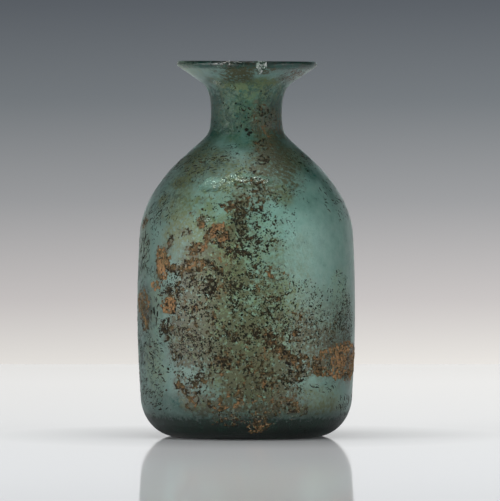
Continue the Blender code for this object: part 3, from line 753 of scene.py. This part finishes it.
def lost_flake(material):
    """A cutter for the flake: an egg whose skin swells in rings, as struck glass breaks.

    It narrows to its lower end, and is cut off straight on its right.
    """
    centre = flare_and_lip()[0]
    turns, steps = 160, 90
    around = np.linspace(0, 2 * math.pi, turns, endpoint=False)
    down = np.linspace(0, math.pi, steps + 1)[1:-1]
    around, down = (part.ravel() for part in np.meshgrid(around, down))
    ball = np.column_stack([np.sin(down) * np.cos(around), np.sin(down) * np.sin(around), np.cos(down)])
    ball = np.vstack([ball, [0, 0, 1], [0, 0, -1]])
    half_sizes = (FLAKE_LENGTH / 2, FLAKE_WIDTH / 2, FLAKE_DEPTH)
    struck = np.linalg.norm(ball * half_sizes - FLAKE_BLOW, axis=1)
    ball *= (1 + 0.022 * np.sin(struck * 5.2) + 0.03 * clouds(ball * 3, 1.6, 3, 71))[:, None]
    egg = ball * half_sizes
    egg[:, 1] = np.minimum(egg[:, 1] * (0.35 + 0.65 * smooth((egg[:, 0] + 4.5) / 6)), 0.36 * FLAKE_WIDTH)
    level, steep = math.cos(FLAKE_PITCH), math.sin(FLAKE_PITCH)
    out = centre[0] + LIP_THICKNESS / 2 * steep + egg[:, 0] * level - egg[:, 2] * steep
    up = centre[1] - LIP_THICKNESS / 2 * level + egg[:, 0] * steep + egg[:, 2] * level
    side, ahead = math.cos(math.radians(FLAKE_BEARING)), math.sin(math.radians(FLAKE_BEARING))
    points = np.column_stack([out * ahead + egg[:, 1] * side, egg[:, 1] * ahead - out * side, up])
    # The egg's rows run down from its top, so its faces are turned over
    faces = [face[:1] + face[:0:-1] for face in closed_faces(len(points), turns)]
    cutter = new_object("flake_cutter", (points * MM).tolist(), faces, material)
    cutter.data.shade_smooth()
    return cutter


def take_away(piece, cutter):
    """Cuts the cutter out of the piece for good; the cut takes the cutter's material."""
    cut = piece.modifiers.new("lost_flake", "BOOLEAN")
    cut.operation = "DIFFERENCE"
    cut.solver = "EXACT"
    cut.material_mode = "TRANSFER"
    cut.object = cutter
    graph = bpy.context.evaluated_depsgraph_get()
    mesh = bpy.data.meshes.new_from_object(piece.evaluated_get(graph))
    piece.modifiers.clear()
    piece.data = mesh
    mesh.set_sharp_from_angle(angle=math.radians(35))
    bpy.data.objects.remove(cutter)


def add_glass_body(tree):
    """The blue-green of iron in the glass, deeper the more glass the light crosses."""
    body = add(tree, "VolumeAbsorption", {"Color": colour("#68b2a6"), "Density": 130})
    connect(tree, tree.nodes["Material Output"], Volume=body)


def weathered_glass():
    """Natural soda-lime glass, free-blown, its skin frosted by burial: light comes through it veiled."""
    material, tree, shader = new_material(
        "weathered_blue_green_glass",
        Transmission_Weight=0.9,
        IOR=1.5,
        Coat_Roughness=0.08,
        Specular_IOR_Level=0.12,
    )
    add_glass_body(tree)
    place = own_space(tree)
    channels = []
    for name in ("stain", "skin"):
        kept = add(tree, "Attribute", {"attribute_name": name})
        channels += add(tree, "SeparateColor", Color=kept.outputs["Color"]).outputs
    # shade is painted shade, and the skin's alpha below is painted shade towards the base
    olive, rust, haze, shade, scaly, gloss = channels
    base_painted_shade = kept.outputs["Alpha"]
    # Dents of 2 mm, with a crease along parts of their edges: sunk by the bump, and darkened with painted
    # shade
    swells = noise(tree, place, 520, Detail=2, Distortion=0.7)
    off = maths(tree, "ABSOLUTE", maths(tree, "SUBTRACT", swells, 0.5))
    line = ranged(tree, off, 0.03, 0.1, 1, 0)
    gap = ranged(tree, noise(tree, place, 410, Detail=1), 0.47, 0.55)
    creases_and_painted_shade = maths(tree, "MULTIPLY", maths(tree, "MULTIPLY", line, gap), scaly)
    # Clouding of the skin, 3 mm patches with 0.4 mm specks
    patches = noise(tree, place, 330, Detail=7, Roughness=0.7)
    skin = ramp(tree, patches, ((0.28, "#86a8a1"), (0.5, "#b3cfc8"), (0.72, "#d0e1dc")))
    # Stains and painted shade, frayed by a crumb of 1.2 mm and its finer grain
    crumb = noise(tree, place, 850, Detail=4, Roughness=0.65)
    crumbs = add(tree, "SeparateColor", Color=crumb.outputs["Color"]).outputs
    for channel, value, gain, fray, source in (
        # Painted shade: dark teal over the neck, lip, shoulders, edges and foot
        (shade, "#0c5247", 1.3, 0.3, 0),
        (haze, "#c6d2b2", 1.2, 1, 2),
        (olive, "#8f844e", 1.45, 1, 1),
        (rust, "#62482b", 1.6, 1.4, 0),
        # Painted shade towards the base, near black green
        (base_painted_shade, "#0c271c", 1.9, 0.35, 1),
        # Painted shade in the creases of the dents
        (creases_and_painted_shade, "#2c4036", 0.9, 0, 0),
    ):
        grain = ranged(tree, crumbs[source], 0.3, 0.7, gain * (1 - fray), gain * (1 + fray))
        cover = maths(tree, "MULTIPLY", channel, grain, clamp=True)
        skin = add(tree, "Mix", {"data_type": "RGBA", 7: colour(value)}, _0=cover, _6=skin).outputs[2]
    # Roughness 0.2 to 0.42, rougher where scaly, smooth where the skin has chipped away
    coarse = maths(tree, "MULTIPLY_ADD", scaly, 0.2, ranged(tree, patches, 0, 1, 0.2, 0.42))
    matt = maths(tree, "MAXIMUM", maths(tree, "MULTIPLY_ADD", gloss, -0.4, coarse), 0.04)
    # The creases are sunk, and fine pitting of 0.6 mm lies all over but where the skin has chipped away
    pitting = noise(tree, place, 1600, Detail=3, Roughness=0.55)
    creased = maths(tree, "SUBTRACT", add(tree, "Mix", {3: 0.5}, _0=gloss, _2=pitting), creases_and_painted_shade)
    swelling = maths(tree, "MULTIPLY", swells, maths(tree, "MAXIMUM", scaly, gloss))
    bump = relief(tree, maths(tree, "MULTIPLY_ADD", swelling, 3, creased), 0.7, 0.0004)
    # A clear coat stands for the bare, glossy glass where the skin has chipped away
    bare = ranged(tree, gloss, 0, 1, 0.04, 1)
    connect(tree, shader, Base_Color=skin, Roughness=matt, Normal=bump, Coat_Weight=bare, Coat_Normal=bump)
    return material


def fresh_fracture():
    """Broken glass, bruised pale where it was struck, its ridges' crests painted white as a painted
    highlight: sharp and glossy, so that it glints.
    """
    material, tree, shader = new_material(
        "broken_glass_face", Transmission_Weight=0.3, Roughness=0.06, IOR=1.5
    )
    add_glass_body(tree)
    # Ridges of 0.8 mm, their crests painted white as a painted highlight
    ridges = noise(tree, own_space(tree), 1200, Detail=3, Distortion=0.8)
    shade = ramp(tree, ridges, ((0.38, "#3f5a4c"), (0.5, "#9dbba8"), (0.58, "#ffffff")))
    connect(tree, shader, Base_Color=shade, Normal=relief(tree, ridges, 1, 0.0006))
    return material


# Crust


def crust_cover(bearing, along):
    """(how far inside the crust each place is, in mm, and its tone): the nearest blotch, frayed by noise.

    A blotch reaches (1.15 - its elliptic distance) times its mean half-size, capped lower the more
    broken it lies, and clouds of 4 mm and of 1.1 mm are added to that.
    """
    depth = np.full(len(bearing), NO_CRUST)
    tone = np.zeros(len(bearing))
    for *blot, solid, bright in CRUST:
        reach, size = from_blot(bearing, along, blot)
        here = np.minimum((1.15 - reach) * size, 2 * solid - 1.1)
        nearer = here > depth
        depth[nearer] = here[nearer]
        tone[nearer] = bright
    near = depth > -2
    spots = outside(bearing[near], along[near])
    depth[near] += 0.9 * clouds(spots, 4.2, 2, 31) + 2.1 * clouds(spots, 1.1, 2, 37)
    tone[near] += 0.8 * clouds(spots, 2.4, 3, 41)
    depth[~near] = NO_CRUST
    return depth, np.clip(tone, 0, 1)


def burial_crust_shell(material):
    """A thin closed shell over each place where the cover is above zero.

    On a fine grid of bearing and distance along the profile, each triangle keeps its covered part,
    cut off where the cover crosses zero. The top rises with the cover, the bottom lies in the glass.
    """
    rows = np.arange(along_at(0.8), ALONG[-1] - 0.4, CRUST_STEP)
    columns = np.linspace(-math.pi, math.pi, int(2 * math.pi * SHOULDER_RADIUS / CRUST_STEP))
    bearing, along = (part.ravel() for part in np.meshgrid(columns, rows))
    cover, tone = crust_cover(bearing, along)
    here = np.arange(len(bearing)).reshape(len(rows), -1)
    a, b, c, d = here[:-1, :-1], here[:-1, 1:], here[1:, 1:], here[1:, :-1]
    corners = np.concatenate([np.stack(three, axis=-1).reshape(-1, 3) for three in ((a, b, c), (a, c, d))])
    covered = (cover > 0)[corners]
    count = covered.sum(axis=1)
    odd = np.where(count == 1, covered.argmax(axis=1), covered.argmin(axis=1))
    turned = np.take_along_axis(corners, (odd[:, None] + np.arange(3)) % 3, axis=1)
    full, tips, gaps = corners[count == 3], turned[count == 1], turned[count == 2]
    ends = np.concatenate([tips[:, [0, 1]], tips[:, [0, 2]], gaps[:, [0, 2]], gaps[:, [0, 1]]])
    ends.sort(axis=1)
    edges, back = np.unique(ends[:, 0] * len(bearing) + ends[:, 1], return_inverse=True)
    one, other = np.divmod(edges, len(bearing))
    share = np.clip(cover[one] / (cover[one] - cover[other]), 0.1, 0.9)
    used = np.unique(np.concatenate([full.ravel(), tips[:, 0], gaps[:, 1:].ravel()]))
    top = np.zeros(len(bearing), int)
    top[used] = np.arange(len(used))
    rim = np.split(2 * len(used) + back.reshape(-1), np.cumsum([len(tips), len(tips), len(gaps)]))
    low = len(used)
    sheets = (
        top[full],
        top[full][:, ::-1] + low,
        np.column_stack([top[tips[:, 0]], rim[0], rim[1]]),
        np.column_stack([rim[1], rim[0], top[tips[:, 0]] + low]),
        np.column_stack([top[gaps[:, 1]], top[gaps[:, 2]], rim[2], rim[3]]),
        np.column_stack([rim[3], rim[2], top[gaps[:, 2]] + low, top[gaps[:, 1]] + low]),
    )
    faces = [face for sheet in sheets for face in sheet.tolist()]
    spots = outside(bearing[used], along[used])
    rise = 0.03 + 0.10 * smooth(cover[used] / FULL_CRUST) * (1 + 0.7 * clouds(spots, 0.9, 2, 43))
    rim_bearing = bearing[one] + share * (bearing[other] - bearing[one])
    rim_along = along[one] + share * (along[other] - along[one])
    points = np.vstack(
        [
            outside(bearing[used], along[used], rise),
            outside(bearing[used], along[used], -0.06),
            outside(rim_bearing, rim_along, -0.02),
        ]
    )
    piece = new_piece("burial_crust", points, faces, material)
    give_tone(piece, np.concatenate([tone[used], tone[used], tone[one] * 0.6]))
    return piece


def grainy(tree, shader, grains, low, high, stops, strength, distance):
    """A shade for each place's tone, moved low to high by grains that also roughen the surface."""
    tone = add(tree, "Attribute", {"attribute_name": "tone"}).outputs["Fac"]
    shade = ramp(tree, maths(tree, "ADD", tone, ranged(tree, grains, 0, 1, low, high)), stops)
    connect(tree, shader, Base_Color=shade, Normal=relief(tree, grains, strength, distance))


def iron_stained_crust():
    """Lime and clay crust from the soil, stained by iron: matt and crumbly, rust orange to dark umber."""
    material, tree, shader = new_material(
        "iron_stained_burial_crust", Roughness=0.88, Specular_IOR_Level=0.25
    )
    # Grains of 0.6 mm, with finer ones inside
    grains = noise(tree, own_space(tree), 1500, Detail=5, Roughness=0.7)
    shades = ("#1f1a14", "#38301f", "#4f4630", "#63563a", "#7c6242", "#a07a55")
    stops = tuple(zip((0, 0.2, 0.4, 0.6, 0.8, 1), shades))
    grainy(tree, shader, grains, -1.8, 1.7, stops, 0.8, 0.0003)
    return material


# Pits, dashes, rings and scratches, each filled with dirt


def scattered(patches, seed):
    """Places in oval patches, denser in the middle and thinned to clusters by noise, and each one's row."""
    chance = np.random.default_rng(seed)
    middle, height, wide, tall, density = np.array([patch[:5] for patch in patches], float).T
    tries = np.ceil(math.pi * wide * tall * density * TRIES).astype(int)
    row = np.repeat(np.arange(len(patches)), tries)
    turn = chance.uniform(0, 2 * math.pi, len(row))
    reach = 1.1 * chance.uniform(0, 1, len(row)) ** 0.6
    along = np.clip(along_at(height[row]) + tall[row] * reach * np.sin(turn), along_at(0.6), ALONG[-1] - 0.3)
    bearing = np.radians(middle[row]) + wide[row] * reach * np.cos(turn) / girth_at(along)
    kept = clouds(outside(bearing, along), 2.6, 2, seed) + chance.normal(0, 0.3, len(row)) > 0
    return bearing[kept], along[kept], row[kept]


def sized(chance, patches, seed, factor, mean=0, spread=0.35):
    """Scattered places, each one's row, and a size in mm: the patch's times factor, varied log-normally."""
    bearing, along, row = scattered(patches, seed)
    size = np.array([patch[5] for patch in patches])[row]
    return bearing, along, row, size * factor * np.exp(chance.normal(mean, spread, len(row)))


def ring_strokes(chance, middle, height, wide, tall):
    """Short strokes along a broken oval, each (bearing, along, half-length, half-width, lie)."""
    turn = np.linspace(0, 1.8 * math.pi, 9) + chance.uniform(0, 6) + chance.normal(0, 0.15, 9)
    turn = turn[chance.uniform(0, 1, 9) < 0.65]
    away = chance.normal(1, 0.08, len(turn))
    along = along_at(height) + tall * away * np.sin(turn)
    bearing = math.radians(middle) + wide * away * np.cos(turn) / girth_at(along)
    lie = np.arctan2(tall * np.cos(turn), -wide * np.sin(turn)) + chance.normal(0, 0.25, len(turn))
    thick = chance.uniform(0.07, 0.15, len(turn))
    return bearing, along, chance.uniform(0.25, 0.55, len(turn)), thick, lie


def scratch_strokes(chance, width, line):
    """Short strokes along a bent scratch, each (bearing, along, half-length, half-width, lie)."""
    bearing, along = np.radians([spot[0] for spot in line]), along_at([spot[1] for spot in line])
    steps = np.hypot(np.diff(bearing) * girth_at(along[1:]), np.diff(along))
    run = np.concatenate([[0], np.cumsum(steps)])
    at = np.sort(chance.uniform(0, run[-1], int(run[-1] / width / 1.2)))
    before, after = np.maximum(at - 0.5, 0), np.minimum(at + 0.5, run[-1])
    climb = np.interp(after, run, along) - np.interp(before, run, along)
    across = (np.interp(after, run, bearing) - np.interp(before, run, bearing)) * SHOULDER_RADIUS
    thick = width / 2 * chance.uniform(0.6, 1.3, len(at))
    bearing = np.interp(at, run, bearing) + chance.normal(0, 0.006 * width, len(at))
    along = np.interp(at, run, along) + chance.normal(0, 0.2 * width, len(at))
    lie = np.arctan2(climb, across) + chance.normal(0, 0.5 * width, len(at))
    return bearing, along, chance.uniform(0.25, 0.6, len(at)), thick, lie


def dab_spots():
    """(bearing, along, half-length, half-width, lie) of every pit, dash, ring stroke and scratch stroke."""
    chance = np.random.default_rng(5)
    bearing, along, row, size = sized(chance, PITS, 61, PIT_SCALE)
    stretch = chance.uniform(1, 2, len(row)) ** 0.5
    found = [(bearing, along, size * stretch, size / stretch, chance.uniform(0, math.pi, len(row)))]
    bearing, along, row, size = sized(chance, DASHES, 67, 0.5, mean=0.2)
    lie = np.radians(np.array([patch[6] for patch in DASHES])[row] + chance.normal(0, 25, len(row)))
    found.append((bearing, along, size * 3, size * 0.65, lie))
    middle, height, long, wide, lie = np.array(MARKS, float).T
    found.append((np.radians(middle), along_at(height), long * 0.75, wide * 0.75, np.radians(lie)))
    bearing, along, _, size = sized(chance, RING_FIELDS, 89, 1, spread=0.25)
    _, height = read_off(along, OUTER)
    rings = (*RINGS, *zip(np.degrees(bearing), height, size, size * 0.85))
    found += [ring_strokes(chance, *ring) for ring in rings]
    found += [scratch_strokes(chance, width, line) for width, *line in SCRATCHES]
    bearing, along, row, size = sized(chance, LOOSE_PITS, 97, PIT_SCALE)
    found.append((bearing, along, size * 1.2, size * 0.8, chance.uniform(0, math.pi, len(row))))
    return [np.concatenate(parts) for parts in zip(*found)]


def dabs(name, spots, tone, material, seed):
    """Low dabs with ragged outlines: a ring of seven points, between a proud middle and a sunk one.

    Each dab's long axis is bent into a shallow parabola, so that a long one lies as an arc.
    """
    bearing, along, long, wide, lie = spots
    chance = np.random.default_rng(seed)
    count, corners = len(bearing), 7
    turn = np.linspace(0, 2 * math.pi, corners, endpoint=False)
    ragged = chance.uniform(0.65, 1.3, (count, corners))
    u, v = long[:, None] * np.cos(turn) * ragged, wide[:, None] * np.sin(turn) * ragged
    v += chance.normal(0, 0.45, (count, 1)) * u**2 / long[:, None]
    across = u * np.cos(lie)[:, None] - v * np.sin(lie)[:, None]
    up = u * np.sin(lie)[:, None] + v * np.cos(lie)[:, None]
    none = np.zeros((count, 1))
    across = np.hstack([none, across, none])
    up = np.hstack([none, up, none])
    lift = np.array([0.06] + [0.005] * corners + [-0.06])
    cover, _ = crust_cover(bearing, along)
    lift = (lift + 0.12 * smooth(cover / FULL_CRUST + 0.4)[:, None]).ravel()
    place = (along[:, None] + up).ravel()
    points = outside((bearing[:, None] + across / girth_at(along)[:, None]).ravel(), place, lift)
    ring = 1 + np.arange(corners)
    after = np.roll(ring, -1)
    fans = np.column_stack([0 * ring, ring, after]), np.column_stack([0 * ring + corners + 1, after, ring])
    faces = (np.arange(count)[:, None, None] * (corners + 2) + np.vstack(fans)).reshape(-1, 3).tolist()
    piece = new_piece(name, points, faces, material)
    give_tone(piece, np.repeat(tone, corners + 2))
    return piece


def flat_dirt(name, stops):
    """Packed soil and mineral grains: matt, each dab its own shade between the stops."""
    material, tree, shader = new_material(name, Roughness=0.8, Specular_IOR_Level=0.25)
    grains = noise(tree, own_space(tree), 4000, Detail=2)
    grainy(tree, shader, grains, -0.3, 0.3, stops, 0.5, 0.0001)
    return material


make_camera()
make_backdrop()
make_floor()
make_lamps()

glass = glass_vessel(weathered_glass())
take_away(glass, lost_flake(fresh_fracture()))
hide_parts("bottle")
burial_crust_shell(iron_stained_crust())

spots = dab_spots()
chance = np.random.default_rng(9)
pit_soil = flat_dirt("packed_dark_soil", ((0, "#18150c"), (0.6, "#2b2315"), (1, "#574329")))
dabs("pit_dirt", spots, chance.uniform(0, 1, len(spots[0])) ** 1.3, pit_soil, 73)

bearing, along, row, size = sized(chance, FLECKS, 79, 0.5, spread=0.3)
spots = (bearing, along, size, size * 0.7, chance.uniform(0, math.pi, len(row)))
pale_lime = flat_dirt("pale_lime_grains", ((0, "#8a6f4e"), (0.5, "#a08a68"), (1, "#b7b49a")))
dabs("lime_flecks", spots, chance.uniform(0, 1, len(row)), pale_lime, 83)

bpy.context.scene.view_settings.view_transform = "Standard"
